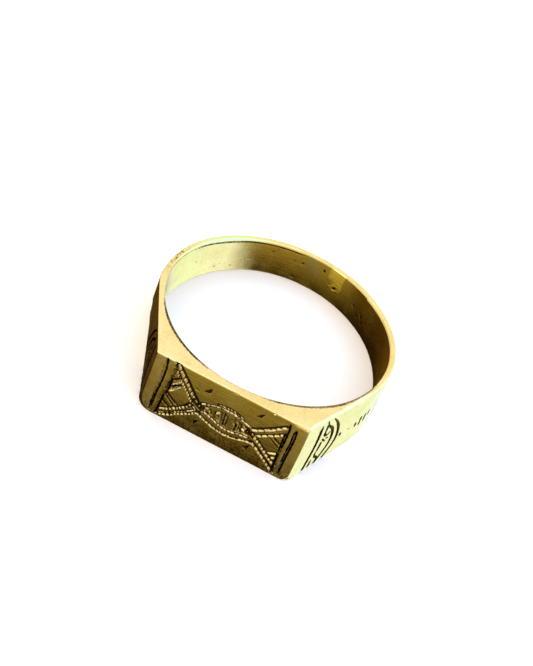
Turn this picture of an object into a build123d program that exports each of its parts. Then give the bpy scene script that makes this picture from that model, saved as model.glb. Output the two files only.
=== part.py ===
from build123d import *
from math import acos, atan2, cos, hypot, radians, sin
import os

# Signet ring: a solid flat-topped head soldered to a thin tapering shank, with a short sizing strip let
# into the back of the shank. All sizes are in millimetres.
# Frame: the origin is the centre of the finger hole at mid-width, +Z is the finger axis, the table of the
# head faces -Y and the back of the shank is at +Y.

# Driving dimensions
finger_diameter = 18.5
shank_thickness = 0.6
table_length = 12.75        # along X
table_width = 6.2           # along Z, at the head
back_width = 3.3            # along Z, at the back of the shank
table_height = 10.25        # from the finger axis to the table

# Edges
bore_edge = 0.1             # softened edge between the finger hole and the side faces
upper_edge = 0.06           # crisp outer edge on the +Z side
lower_edge = 0.08           # worn outer edge on the -Z side
left_corner = 0.2           # table rolls into the left shoulder
right_corner = 0.12

# A flat that was filed on the lower half of the left shoulder, given on the shoulder's own plane
flat_start = (1.6, -3.05)   # distance from the table corner, height
flat_end = (8.0, -0.5)
flat_sink = 0.5             # how deep the flat goes under the shoulder at the lower edge

# Joints in the ring, as angles round the finger axis from +X
insert_start = 71.5
insert_end = 90.0
head_seam = 0.12            # solder between the head and the shank
plain_seam = 0.2            # solder at the right end of the sizing strip
vee_inside = 1.3            # vee of grey solder at the left end, wide on the inside of the shank
vee_outside = 0.16
seam_overrun = 0.05         # how far a seam's blank runs past the inside and the outside of the shank

# Engraving
table_cut = 0.16
border_width = 0.24
line_width = 0.12
shoulder_cut = 0.12

bore_radius = finger_diameter / 2
outer_radius = bore_radius + shank_thickness
half_length = table_length / 2
reach = 3 * outer_radius    # further out than any part of the ring

corner_distance = hypot(half_length, table_height)
tangent_angle = acos(outer_radius / corner_distance) - atan2(table_height, half_length)
tangent = (outer_radius * cos(tangent_angle), outer_radius * sin(tangent_angle))


def polar(radius, angle):
    return (radius * cos(radians(angle)), radius * sin(radians(angle)))


def cut_lines(plane, lines, width, depth):
    """Engraves lines and curves, given on the plane, into the part of the open block."""
    with BuildSketch(plane) as strokes:
        for points in lines:
            with BuildLine() as stroke:
                Line(*points) if len(points) == 2 else Spline(*points)
            trace(stroke.edges(), line_width=width)
    extrude(strokes.sketch, amount=-depth, mode=Mode.SUBTRACT)


# The whole ring before it is divided: plan outline, side taper, finger hole and edges
with BuildPart() as blank:
    with BuildSketch(Plane.XY):
        with BuildLine():
            Line((-half_length, -table_height), (half_length, -table_height))
            Line((half_length, -table_height), tangent)
            ThreePointArc(tangent, (0, outer_radius), (-tangent[0], tangent[1]))
            Line((-tangent[0], tangent[1]), (-half_length, -table_height))
        make_face()
        Circle(bore_radius, mode=Mode.SUBTRACT)
    extrude(amount=table_width, both=True)
    with BuildSketch(Plane.YZ):
        with BuildLine():
            Polyline(
                (-table_height, -table_width / 2),
                (outer_radius, -back_width / 2),
                (outer_radius, back_width / 2),
                (-table_height, table_width / 2),
                close=True,
            )
        make_face()
    extrude(amount=reach, both=True, mode=Mode.INTERSECT)

    corners = blank.edges().filter_by(Axis.Z).group_by(Axis.Y)[0].sort_by(Axis.X)
    fillet(corners[0], radius=left_corner)
    corners = blank.edges().filter_by(Axis.Z).group_by(Axis.Y)[0].sort_by(Axis.X)
    fillet(corners[-1], radius=right_corner)
    for end, outer_round in ((0, lower_edge), (-1, upper_edge)):
        side = blank.faces().filter_by(GeomType.PLANE).sort_by(Axis.Z)[end]
        fillet(side.outer_wire().edges(), radius=outer_round)
        side = blank.faces().filter_by(GeomType.PLANE).sort_by(Axis.Z)[end]
        fillet(side.inner_wires().edges(), radius=bore_edge)


table = Plane(origin=(0, -table_height, 0), x_dir=(1, 0, 0), z_dir=(0, -1, 0))
along_shoulder = Vector(tangent[0] - half_length, tangent[1] + table_height, 0).normalized()
shoulder_normal = Vector(along_shoulder.Y, -along_shoulder.X, 0)
right_shoulder = Plane(origin=(half_length, -table_height, 0), x_dir=along_shoulder, z_dir=shoulder_normal)
left_shoulder = Plane(
    origin=(-half_length, -table_height, 0),
    x_dir=(along_shoulder.X, -along_shoulder.Y, 0),
    z_dir=(-shoulder_normal.X, shoulder_normal.Y, 0),
)

# Engraved lines on the table, as (across, up) from its centre
border_lines = [
    [(-5.4, 3.0), (-5.5, -3.2)],
    [(-4.62, 3.2), (-4.95, -3.2)],
    [(4.86, 2.6), (4.95, -3.2)],
    [(5.48, 2.3), (5.55, -3.2)],
]
band_middles = [
    ((-4.45, 2.6), (-2.45, 0.2)),
    ((-4.85, -2.75), (-2.3, -0.6)),
    ((4.75, 1.85), (2.5, 0.25)),
    ((4.85, -2.45), (2.6, -0.5)),
]
band_spread = 0.42
almond_arcs = [
    [(-2.0, 0.45), (0.3, 1.3), (2.3, 0.6)],
    [(-1.6, 0.3), (0.3, 0.72), (2.1, 0.25)],
    [(-1.7, -0.3), (0.4, -0.72), (2.2, -0.4)],
    [(-1.9, -0.6), (0.4, -1.15), (2.4, -0.85)],
    [(-2.1, -1.0), (0.4, -1.62), (2.6, -1.25)],
]
almond_bars = [
    [(-0.62, 0.4), (-0.7, -0.4)],
    [(-0.12, 0.5), (-0.05, -0.5)],
    [(0.25, 0.5), (0.25, -0.5)],
    [(1.1, 0.5), (1.1, -0.5)],
    [(1.5, 0.35), (1.55, -0.4)],
]
corner_hatching = [
    [(-4.4, 1.3), (-4.0, 1.65)],
    [(-4.4, 0.5), (-3.7, 1.15)],
    [(-4.5, -0.25), (-3.6, -0.95)],
    [(-4.6, -0.65), (-3.9, -1.2)],
    [(-4.7, -1.1), (-4.2, -1.5)],
    [(4.1, 0.6), (4.7, 0.2)],
    [(4.25, 0.95), (4.7, 0.7)],
    [(4.7, -0.5), (4.1, -0.95)],
    [(4.7, -0.95), (4.3, -1.3)],
]
punch_places = [(-1.75, 1.98), (2.6, 2.15), (-1.85, -1.72), (2.45, -2.0)]
punch_radius = 0.22

# Engraved lines on each shoulder, as (distance from the table, up)
shoulder_lines = [
    [(1.85, 2.3), (2.05, 0.0), (1.8, -2.6)],
    [(2.55, 2.1), (2.7, 0.4), (2.65, -1.6)],
    [(2.9, 1.9), (3.95, -0.5), (3.2, -2.4)],
    [(3.2, 2.4), (4.75, -0.6), (4.0, -2.4)],
]
shoulder_width = 0.2
dashes = [
    [(5.2, -0.4), (5.3, -0.8)],
    [(7.05, -0.4), (7.15, -0.8)],
    [(7.6, -0.1), (7.75, -0.8)],
    [(8.25, 0.0), (8.4, -0.7)],
]
dash_cut = 0.25


def band_lines(start, end):
    """Three parallel lines: the middle of a beaded band and its two sides."""
    across = (Vector(*end) - Vector(*start)).normalized().rotate(Axis.Z, 90) * band_spread
    shifts = (across * step for step in (-1, 0, 1))
    return [[(start[0] + s.X, start[1] + s.Y), (end[0] + s.X, end[1] + s.Y)] for s in shifts]


def mirrored(lines):
    return [[(-x, y) for x, y in points] for points in lines]


def wedge(start, end):
    """Keeps the slice of the open block's part between two angles round the finger axis."""
    corners = [polar(reach, start + (end - start) * step / 2) for step in range(3)]
    with BuildSketch(Plane.XY) as slice_plan:
        with BuildLine():
            Polyline((0, 0), *corners, close=True)
        make_face()
    extrude(slice_plan.sketch, amount=table_width, both=True, mode=Mode.INTERSECT)


def seam_blank(angle, inside, outside):
    """A solder seam across the shank, tapering from its inside width to its outside width."""
    with BuildPart() as seam:
        seam_plane = Plane(origin=(0, 0, 0), x_dir=(*polar(1, angle), 0), z_dir=(0, 0, 1))
        taper = (outside - inside) / shank_thickness
        low = bore_radius - seam_overrun
        high = outer_radius + seam_overrun
        low_half = (inside - seam_overrun * taper) / 2
        high_half = (outside + seam_overrun * taper) / 2
        with BuildSketch(seam_plane):
            with BuildLine():
                Polyline(
                    (low, -low_half), (high, -high_half), (high, high_half), (low, low_half), close=True
                )
            make_face()
        extrude(amount=table_width, both=True)
    return seam.part


seams = {
    "solder_head_right": seam_blank(0, head_seam, head_seam),
    "solder_insert_right": seam_blank(insert_start, plain_seam, plain_seam),
    "solder_insert_left": seam_blank(insert_end, vee_inside, vee_outside),
    "solder_head_left": seam_blank(180, head_seam, head_seam),
}
pieces = []

# Head: the table, both shoulders and the arch under them, with its engraving
with BuildPart() as head:
    add(blank.part)
    wedge(180, 360)
    add(seams["solder_head_left"], mode=Mode.SUBTRACT)
    add(seams["solder_head_right"], mode=Mode.SUBTRACT)

    cut_lines(table, border_lines, border_width, table_cut)
    for start, end in band_middles:
        cut_lines(table, band_lines(start, end), line_width, table_cut)
    cut_lines(table, almond_arcs, line_width, table_cut)
    cut_lines(table, almond_bars + corner_hatching, line_width, table_cut)
    with BuildSketch(table):
        with Locations(*punch_places):
            RegularPolygon(punch_radius, 3)
    extrude(amount=-table_cut, mode=Mode.SUBTRACT)

    cut_lines(right_shoulder, shoulder_lines, shoulder_width, shoulder_cut)
    cut_lines(right_shoulder, dashes, shoulder_width, dash_cut)
    cut_lines(left_shoulder, mirrored(shoulder_lines), shoulder_width, shoulder_cut)
    cut_lines(left_shoulder, mirrored(dashes), shoulder_width, dash_cut)

    start_point = left_shoulder.from_local_coords(Vector(-flat_start[0], flat_start[1], 0))
    end_point = left_shoulder.from_local_coords(Vector(-flat_end[0], flat_end[1], 0))
    sunk_point = left_shoulder.from_local_coords(Vector(-flat_end[0], flat_start[1], -flat_sink))
    run = end_point - start_point
    flat_plane = Plane(origin=start_point, x_dir=run, z_dir=run.cross(sunk_point - start_point))
    split(bisect_by=flat_plane, keep=Keep.BOTTOM)
head.part.label = "head"
pieces.append(head.part)

# Shank: two arms and the sizing strip between them
for label, start, end, ends in (
    ("shank_right", 0, insert_start, ("solder_head_right", "solder_insert_right")),
    ("sizing_insert", insert_start, insert_end, ("solder_insert_right", "solder_insert_left")),
    ("shank_left", insert_end, 180, ("solder_insert_left", "solder_head_left")),
):
    with BuildPart() as arm:
        add(blank.part)
        wedge(start, end)
        for seam in ends:
            add(seams[seam], mode=Mode.SUBTRACT)
    arm.part.label = label
    pieces.append(arm.part)

# Solder: a thin layer in each of the four joints
for label, shape in seams.items():
    with BuildPart() as solder:
        add(shape)
        add(blank.part, mode=Mode.INTERSECT)
    solder.part.label = label
    pieces.append(solder.part)

os.makedirs("parts", exist_ok=True)
for piece in pieces:
    export_step(piece, f"parts/{piece.label}.step")
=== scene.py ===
import bpy
import numpy as np
from math import acos, atan2, cos, degrees, hypot, pi, radians, sin, tan
from mathutils import Matrix, Vector


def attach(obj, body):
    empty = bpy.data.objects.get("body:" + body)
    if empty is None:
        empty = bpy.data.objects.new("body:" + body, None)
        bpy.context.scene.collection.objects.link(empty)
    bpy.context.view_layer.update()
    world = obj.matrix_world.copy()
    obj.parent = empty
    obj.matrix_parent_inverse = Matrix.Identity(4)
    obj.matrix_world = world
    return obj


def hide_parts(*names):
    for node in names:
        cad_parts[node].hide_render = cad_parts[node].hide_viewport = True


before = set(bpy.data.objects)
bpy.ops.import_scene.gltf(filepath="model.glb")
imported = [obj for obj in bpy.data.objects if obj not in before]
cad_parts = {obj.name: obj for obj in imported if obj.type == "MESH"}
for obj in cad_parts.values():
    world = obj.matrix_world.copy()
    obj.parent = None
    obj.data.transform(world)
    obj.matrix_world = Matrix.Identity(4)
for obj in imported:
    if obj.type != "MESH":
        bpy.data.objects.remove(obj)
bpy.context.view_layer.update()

# The ring's shape is in millimetres, with the finger axis on Z and the table facing -Y.
# The frame is in metres.
MM = 0.001

# The ring's driving sizes, the same as in the CAD part
BORE = 9.25
THICKNESS = 0.6
OUTER = BORE + THICKNESS
TABLE = 10.25
HALF_LENGTH = 6.375
HEAD_HALF = 3.1
BACK_HALF = 1.65
SIDE_SLOPE = (HEAD_HALF - BACK_HALF) / (TABLE + OUTER)
LEFT_CORNER = 0.2
RIGHT_CORNER = 0.12
LOWER_EDGE = 0.06
UPPER_EDGE = 0.09
SHOULDER_ROUNDING = 0.25
INSERT_START = 71.5
INSERT_END = 90.0
HEAD_SEAM = 0.12
PLAIN_SEAM = 0.2
VEE_INSIDE = 1.3
VEE_OUTSIDE = 0.16

CORNER_DISTANCE = hypot(HALF_LENGTH, TABLE)
TANGENT_ANGLE = acos(OUTER / CORNER_DISTANCE) - atan2(TABLE, HALF_LENGTH)
TANGENT = np.array([OUTER * cos(TANGENT_ANGLE), OUTER * sin(TANGENT_ANGLE)])
CORNER = np.array([HALF_LENGTH, -TABLE])
STRAIGHT = float(np.linalg.norm(TANGENT - CORNER))
ALONG = (TANGENT - CORNER) / STRAIGHT
ACROSS = np.array([ALONG[1], -ALONG[0]])
TURN = acos(ALONG[0])

# Engraving: depth of the sunk ground, width of its sloping side, and the patina's reach past a mark
BED = 0.15
BED_SLOPE = 0.07
PATINA_SPREAD = 0.06

# A graver cut: share of its width and depth left at its tips, how flat its bottom is, how round its sides
TIP_WIDTH = 0.3
TIP_DEPTH = 0.5
FLAT_BOTTOM = 1.15
ROUND_SIDES = 0.75

# Beads: spread of their lengths, widths and heights, and how far each one's rounded end reaches
BEAD_LENGTHS = (0.85, 1.15)
BEAD_WIDTHS = (0.88, 1.12)
BEAD_HEIGHTS = (0.65, 1.05)
BEAD_END = 0.085
rng = np.random.default_rng(11)

# A punch mark's sloping side, and a distance larger than any on the ring
PUNCH_SLOPE = 0.06
FAR = 9.0

# Raised lines: place of the crest across the line, and heights between which the patina is rubbed off
CREST = -0.25
CREST_ROUNDING = 0.65
RUBBED_FROM = 0.2
RUBBED_TO = 0.6
RUBBED_SHARE = 0.7


def half_width(y):
    """Height of the side faces above mid-width, which falls from the head to the back."""
    return HEAD_HALF - SIDE_SLOPE * (y + TABLE)


# -------- engraving


class Relief:
    """Engraving on a patch of surface: its height in millimetres, and how dark the patina lies in it."""

    def __init__(self, u, v):
        self.u, self.v = u, v
        self.height, self.bed, self.tops, self.dark, self.stain = np.zeros((5, *u.shape))

    def near(self, points, margin):
        """Points of the patch near a curve: where, distance, distance along, side, above, length."""
        curve = smooth(points)
        low, high = curve.min(axis=0) - margin, curve.max(axis=0) + margin
        where = (self.u > low[0]) & (self.u < high[0]) & (self.v > low[1]) & (self.v < high[1])
        p = np.stack([self.u[where], self.v[where]], axis=1)
        best = np.full(len(p), 1e9)
        along, side, above = np.zeros((3, len(p)))
        start = 0.0
        for a, b in zip(curve[:-1], curve[1:]):
            step = b - a
            length = float(np.hypot(*step))
            t = np.clip(((p - a) @ step) / length**2, 0, 1)
            gap = p - (a + t[:, None] * step)
            distance = np.hypot(gap[:, 0], gap[:, 1])
            closer = distance < best
            best[closer] = distance[closer]
            along[closer] = start + t[closer] * length
            turn = step[0] * gap[:, 1] - step[1] * gap[:, 0]
            side[closer] = np.sign(turn[closer])
            above[closer] = np.sign(gap[closer, 1])
            start += length
        return where, best, along, side, above, start

    def lower_bed(self, points, width, depth, up=0.1, down=0.02):
        """Sinks the ground that a raised line stands on, with a margin above it and one below it."""
        where, distance, _, _, above, _ = self.near(points, width + up)
        half = width / 2 + np.where(above > 0, up, down)
        edge = ramp(-distance, -half, BED_SLOPE - half)
        self.bed[where] = np.minimum(self.bed[where], -depth * edge)
        self.stain[where] = np.maximum(self.stain[where], ramp(half - distance, -PATINA_SPREAD, 0))

    def cut(self, where, depth, inside, dark, spread):
        """Takes metal away, with patina up to a little past the edge, where inside is 0."""
        self.height[where] = np.minimum(self.height[where], -depth)
        self.dark[where] = np.maximum(self.dark[where], dark * ramp(inside, -spread, 0))

    def groove(self, points, width, depth, taper=(0.3, 0.3), rough=0.0, lean=0.0, dark=1.0, spread=0.05):
        """A graver cut, pointed at its ends. With lean above 0 its deepest line is to one side."""
        where, distance, along, side, _, total = self.near(points, width + 0.1)
        ends = np.minimum(ramp(along, -0.02, taper[0]), ramp(total - along, -0.02, taper[1]))
        wobble = 1 + rough * np.sin(along * 17 + total * 5) * np.sin(along * 7.3 + 1)
        half = 0.5 * width * (TIP_WIDTH + (1 - TIP_WIDTH) * ends) * wobble
        place = distance * side / half
        slopes = np.minimum((1 + place) / (1 + lean), (1 - place) / (1 - lean))
        profile = np.clip(slopes * FLAT_BOTTOM, 0, 1) ** ROUND_SIDES
        profile = profile * (TIP_DEPTH + (1 - TIP_DEPTH) * ends)
        self.cut(where, depth * profile, half - distance, dark, spread)

    def ridge(self, points, width, rise):
        """A plain raised line left standing in the sunk bed, steeper on its lower side."""
        where, distance, along, _, above, total = self.near(points, width)
        ends = np.minimum(ramp(along, -0.03, 0.12), ramp(total - along, -0.03, 0.12))
        profile = slanted(2 * distance * above / width) * rise * ends
        self.tops[where] = np.maximum(self.tops[where], profile)

    def beads(self, points, lengths, width, rise, slant=0.5, notch=1.0):
        """A raised line cut across into beads, with a list of their lengths or one for all.

        slant: how far the cuts lean along the line. notch: how deep they are, as a share of the height.
        """
        where, distance, along, side, above, total = self.near(points, width)
        if isinstance(lengths, float):
            count = max(1, int(round(total / lengths)))
            lengths = rng.uniform(*BEAD_LENGTHS, count)
        lengths = np.array(lengths) * total / np.sum(lengths)
        edges = np.concatenate([[0], np.cumsum(lengths)])
        shifted = np.clip(along + slant * distance * side, 0, total - 1e-6)
        index = np.clip(np.searchsorted(edges, shifted, side="right") - 1, 0, len(lengths) - 1)
        place = (shifted - edges[index]) / lengths[index]
        size = rng.uniform(*BEAD_WIDTHS, len(lengths))
        lift = rng.uniform(*BEAD_HEIGHTS, len(lengths))
        swell = ramp(np.minimum(place, 1 - place) * lengths[index], 0.0, BEAD_END)
        body = slanted(2 * distance * above / (width * size[index]))
        profile = body * (1 - notch + notch * swell) * rise * lift[index]
        self.tops[where] = np.maximum(self.tops[where], profile)

    def punch(self, corners, depth):
        """A three-cornered dent, with its corners given anticlockwise."""
        inside = np.full(self.u.shape, FAR)
        for a, b in zip(corners, corners[1:] + corners[:1]):
            length = hypot(b[0] - a[0], b[1] - a[1])
            gap = (b[0] - a[0]) * (self.v - a[1]) - (b[1] - a[1]) * (self.u - a[0])
            inside = np.minimum(inside, gap / length)
        everywhere = np.s_[:]
        self.cut(everywhere, depth * np.clip(inside / PUNCH_SLOPE, 0, 1), inside, 1.0, PATINA_SPREAD)

    def finish(self, depth=1.0):
        """Height and patina of the patch. Patina fills the bed and is mostly rubbed off the tops."""
        clean = RUBBED_SHARE * ramp(self.tops / depth, RUBBED_FROM, RUBBED_TO)
        ground = self.bed + np.where(self.bed < -1e-6, self.tops, 0)
        height = np.minimum(self.height, ground)
        return height, np.maximum(self.dark, self.stain * (1 - clean))


def ramp(x, low, high):
    """Smooth step from 0 at low to 1 at high."""
    t = np.clip((x - low) / (high - low), 0, 1)
    return t * t * (3 - 2 * t)


def slanted(across):
    """Profile of a raised line from its lower (-1) to its upper side (1), steeper below the crest."""
    flanks = np.minimum((1 + across) / (1 + CREST), (1 - across) / (1 - CREST))
    return np.clip(flanks, 0, 1) ** CREST_ROUNDING


def smooth(points, step=0.1):
    """A smooth curve through the points, or a straight line through two."""
    p = np.array(points, float)
    if len(p) == 2:
        return p
    ends = np.vstack([2 * p[0] - p[1], p, 2 * p[-1] - p[-2]])
    out = []
    for a, b, c, d in zip(ends[:-3], ends[1:-2], ends[2:-1], ends[3:]):
        count = max(2, int(np.hypot(*(c - b)) / step))
        for t in np.arange(count) / count:
            out.append(
                0.5 * (2 * b + (c - a) * t + (2 * a - 5 * b + 4 * c - d) * t**2
                       + (3 * b - 3 * c + d - a) * t**3)
            )
    out.append(p[-1])
    return np.array(out)


def corner_wear(a, b, reach, depth):
    """Metal worn off a corner, as a negative height, by the distances a and b from its two edges."""
    past = np.hypot(np.maximum(reach - a, 0), np.maximum(reach - b, 0)) / reach - 1
    return -depth * (np.maximum(past, 0) / (2**0.5 - 1)) ** 1.6


def corners_worn(left, right, low, high):
    """Wear of the table's corners, given the distances from the left, right, lower and upper edges."""
    lower = corner_wear(left, low, 1.5, 0.45) + corner_wear(right, low, 0.9, 0.4)
    return lower + corner_wear(right, high, 0.6, 0.15)


# Height of the plain lines. The almond's middle, its half length and height, and its ground's patina
PLAIN_RISE = 0.9 * BED
ALMOND_MIDDLE = (0.15, 0.05)
ALMOND_HALF = (2.1, 0.85)
ALMOND_STAIN = 0.28


def beaded_bands(cut):
    """Four bands of two or three beaded lines each, and the almond between their crossings."""
    # points, bead length or lengths, width, rise, slant, margins above and below, notch
    corded = [
        # upper left band
        ([(-4.54, 2.95), (-4.36, 2.7), (-3.91, 2.16), (-3.49, 1.71), (-2.99, 1.1), (-2.52, 0.56),
          (-2.33, 0.3)],
         [0.58, 0.66, 0.5, 0.39, 0.39, 0.37, 0.37, 0.15], 0.33, 0.88, 0.4, 0.14, -0.04, 0.9),
        ([(-4.45, 2.28), (-4.15, 1.82), (-3.75, 1.38), (-3.4, 0.98), (-2.97, 0.46), (-2.62, 0.04)],
         0.27, 0.32, 0.9, 1.1, 0.0, -0.1, 0.8),
        # lower left band
        ([(-2.63, -0.26), (-2.86, -0.72), (-3.29, -1.16), (-3.76, -1.57), (-4.2, -1.92), (-4.38, -2.02)],
         0.31, 0.28, 1.0, 0.2, 0.09, -0.03, 1.0),
        ([(-2.78, -1.24), (-3.1, -1.52), (-3.44, -1.82), (-3.9, -2.16)],
         0.32, 0.24, 0.9, 0.3, 0.05, -0.03, 1.0),
        ([(-1.95, -0.76), (-2.36, -1.19), (-2.8, -1.55), (-3.34, -1.92), (-3.88, -2.45), (-4.7, -2.86)],
         0.31, 0.3, 1.0, 0.3, 0.1, -0.1, 1.0),
        # almond
        ([(-0.6, 1.1), (0.3, 1.2), (1.4, 1.03)], 0.3, 0.24, 0.78, 1.6, 0.05, 0, 1.0),
        ([(-1.5, 0.5), (-1.2, 0.66), (-0.8, 0.83), (-0.3, 0.95), (0.1, 0.98)],
         0.4, 0.14, 0.78, 0.6, 0.05, 0, 0.35),
        ([(0, 0.96), (0.4, 0.99), (1, 0.92), (1.6, 0.75), (2.3, 0.49)],
         0.36, 0.16, 0.85, 0.6, 0.06, -0.02, 0.3),
        ([(-1.74, -0.54), (-1.5, -0.34), (-1.2, -0.4), (-0.65, -0.62), (0, -0.88), (0.6, -0.98),
          (1.1, -0.9), (1.75, -0.73), (2.3, -0.66)], 0.34, 0.17, 0.84, 0.8, 0.06, 0, 0.45),
        ([(-2, -0.76), (-1.7, -0.87), (-1.2, -1.09), (-0.6, -1.33), (-0.45, -1.37)],
         0.31, 0.2, 0.82, 0.8, 0.07, -0.09, 1.0),
        ([(-0.5, -1.36), (0.1, -1.47), (0.6, -1.52), (1.2, -1.45), (1.7, -1.28), (2.2, -1.11),
          (2.62, -1.02)],
         [0.42, 0.3, 0.34, 0.24, 0.24, 0.26, 0.6, 0.5, 0.3, 0.4], 0.2, 0.84, 0.8, 0.07, -0.09, 0.5),
        # upper right band
        ([(2.28, 0.28), (2.7, 0.5), (3.15, 0.82), (3.65, 1.2), (4, 1.5), (4.35, 1.82), (4.76, 2.2)],
         [0.6, 0.55, 0.6, 0.42, 0.5, 0.5], 0.29, 1.0, 0.6, 0.14, -0.05, 0.5),
        ([(2.92, -0.04), (3.45, 0.35), (3.95, 0.74), (4.35, 1.04), (4.76, 1.42)],
         [0.4, 0.54, 0.52, 0.47, 0.37], 0.31, 1.0, 0.9, 0.04, -0.12, 0.8),
        # lower right band
        ([(2.48, 0), (2.92, -0.36), (3.4, -0.76), (3.82, -1.15), (4.36, -1.61), (4.9, -1.98)],
         0.34, 0.3, 1.0, 0.5, 0.12, -0.05, 0.9),
        ([(2.76, -0.95), (3.32, -1.38), (3.66, -1.66), (3.93, -1.88), (4.3, -2.16), (4.93, -2.78)],
         0.42, 0.32, 1.0, 0.5, 0.14, -0.1, 0.9),
    ]
    for points, lengths, width, rise, slant, up, down, notch in corded:
        cut.lower_bed(points, width, BED, up, down)
        cut.beads(points, lengths, width, BED * rise, slant, notch)


def plain_lines(cut):
    """Short plain lines left standing beside the beads."""
    # points, width, margins above and below
    plain = [
        ([(-2.46, -0.32), (-2.26, -0.42), (-2.16, -0.62), (-2.36, -0.84), (-2.78, -1.22)],
         0.18, 0.08, 0.05),
        ([(-4.32, -1.98), (-4.6, -2.16), (-4.84, -2.36)], 0.22, 0.05, 0.0),
        ([(-4.3, -2.42), (-4.8, -2.7)], 0.1, 0.05, 0.0),
        ([(-1.9, 0.26), (-1.72, 0.44), (-1.46, 0.54)], 0.2, 0.08, 0.0),
    ]
    for points, width, up, down in plain:
        cut.lower_bed(points, width, PLAIN_RISE, up, down)
        cut.ridge(points, width, PLAIN_RISE)


def crossings(cut):
    """Single beads at the two places where the bands cross."""
    for at, size in (
        ((-2.26, 0.25), 0.36),
        ((-1.95, -0.02), 0.26),
        ((-1.7, 0.06), 0.2),
        ((2.66, -0.15), 0.3),
        ((2.36, 0.16), 0.24),
        ((2.14, -0.1), 0.2),
    ):
        points = [(at[0] - size * 0.35, at[1] + size * 0.25), (at[0] + size * 0.35, at[1] - size * 0.25)]
        cut.lower_bed(points, size, BED, 0.07, 0.05)
        cut.beads(points, size * 1.3, size, BED)


def borders(cut):
    """Two lines along each short edge: a broad shallow cut with narrow dark cuts inside it."""
    for points, width, depth, rough, dark in (
        ([(-5.42, 3.02), (-5.41, 2.2), (-5.41, 0.9), (-5.42, 0.1), (-5.47, -1.6), (-5.5, -2.98)],
         0.34, 0.05, 0.2, 0.45),
        ([(-5.45, 3.06), (-5.36, 2.5), (-5.29, 1.9), (-5.28, 0.9), (-5.32, 0.1), (-5.4, -0.7),
          (-5.4, -1.6), (-5.46, -2.5)], 0.13, 0.14, 0.35, 0.95),
        ([(-5.54, -0.9), (-5.55, -1.5), (-5.56, -2.3), (-5.52, -2.8)], 0.09, 0.1, 0.3, 0.8),
        ([(-4.62, 3), (-4.6, 2.4), (-4.62, 1.75), (-4.68, 0.9), (-4.74, 0), (-4.8, -0.55),
          (-4.88, -1.6), (-5.06, -3)], 0.28, 0.05, 0.3, 0.55),
        ([(-4.65, 3.2), (-4.63, 2.9), (-4.62, 2.6)], 0.12, 0.14, 0.2, 1.0),
        ([(-4.57, 1.4), (-4.58, 0.9), (-4.6, 0.3), (-4.64, -0.2), (-4.72, -0.5)], 0.14, 0.17, 0.3, 1.0),
        ([(-4.74, 0.9), (-4.78, 0.4), (-4.84, 0)], 0.07, 0.12, 0.3, 0.9),
        ([(-4.8, -0.6), (-4.85, -1.2), (-4.86, -1.8), (-4.95, -2.5), (-5.04, -3)],
         0.15, 0.17, 0.3, 1.0),
        ([(4.9, 2.66), (4.9, 2), (4.9, 0.8), (4.92, -0.2), (4.95, -1.6), (5, -3.02)],
         0.28, 0.06, 0.2, 0.55),
        ([(4.86, 2.72), (4.93, 2.3), (4.98, 1.8), (5, 0.8), (4.97, 0)], 0.13, 0.17, 0.3, 1.0),
        ([(4.8, 1.7), (4.79, 1), (4.83, 0.2), (4.88, -0.4)], 0.11, 0.15, 0.4, 1.0),
        ([(4.9, -0.6), (4.93, -1.4), (4.95, -2.2), (5, -2.9)], 0.17, 0.15, 0.3, 0.95),
        ([(5.48, 2.44), (5.5, 1.4), (5.49, 0.2), (5.5, -1.4), (5.53, -3.02)], 0.32, 0.06, 0.15, 0.55),
        ([(5.5, 2.42), (5.52, 2.1), (5.6, 1.6), (5.6, 0.8), (5.58, 0), (5.55, -1.2), (5.55, -2.6)],
         0.12, 0.15, 0.4, 0.95),
        ([(5.42, 2.3), (5.37, 1.7), (5.42, 0.9), (5.38, 0.1), (5.37, -0.7), (5.42, -1.3)],
         0.1, 0.15, 0.4, 1.0),
    ):
        cut.groove(points, width, depth, (0.14, 0.2), rough, dark=dark, spread=0.02)


def corner_cuts(cut):
    """Short dark cuts in the corners of the two end triangles."""
    for points, width, depth in (
        ([(-4.47, 0.52), (-4.2, 0.82), (-3.76, 1.18)], 0.16, 0.15),
        ([(-4.46, 1.28), (-4.28, 1.5), (-3.98, 1.76)], 0.15, 0.12),
        ([(-4.62, -0.2), (-4.2, -0.54), (-3.56, -0.98)], 0.16, 0.14),
        ([(-4.66, -0.46), (-4.25, -0.84), (-3.84, -1.24)], 0.14, 0.14),
        ([(-4.74, -1.1), (-4.4, -1.42), (-4.06, -1.6)], 0.17, 0.14),
        ([(4.15, 0.74), (4.5, 0.5), (4.8, 0.36)], 0.13, 0.1),
        ([(3.8, 0.56), (4.3, 0.24), (4.78, -0.06)], 0.05, 0.04),
        ([(4.84, -0.52), (4.5, -0.74), (4.1, -1)], 0.13, 0.13),
        ([(4.84, -0.98), (4.62, -1.14), (4.36, -1.34)], 0.16, 0.14),
        ([(4.86, -1.46), (4.6, -1.66)], 0.14, 0.12),
    ):
        cut.groove(points, width, depth, (0.12, 0.3), 0.15)


def bright_cuts(cut):
    """Cuts with one broad clean slope, which catch the light in the triangles and the almond."""
    for points, width, lean in (
        ([(-4.4, 0.8), (-4.2, 1.06), (-3.88, 1.52)], 0.18, 0.8),
        ([(-4.52, 0.06), (-4.26, 0.3), (-4, 0.7)], 0.1, 0.7),
        ([(-4.44, 0.3), (-4.2, 0.46), (-3.74, 1)], 0.09, 0.7),
        ([(4.2, -0.98), (4.5, -0.88), (4.84, -0.68)], 0.18, 0.8),
        ([(4.5, -1.44), (4.84, -1.16)], 0.18, 0.8),
        ([(-0.56, 0.2), (-0.28, 0.54)], 0.16, 0.8),
        ([(1.1, 0.2), (1.22, 0.42)], 0.1, 0.8),
        ([(1.62, 0), (2.04, -0.1)], 0.2, 0.8),
    ):
        cut.groove(points, width, 0.1, (0.1, 0.1), 0.1, lean, 0.0)


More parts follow.
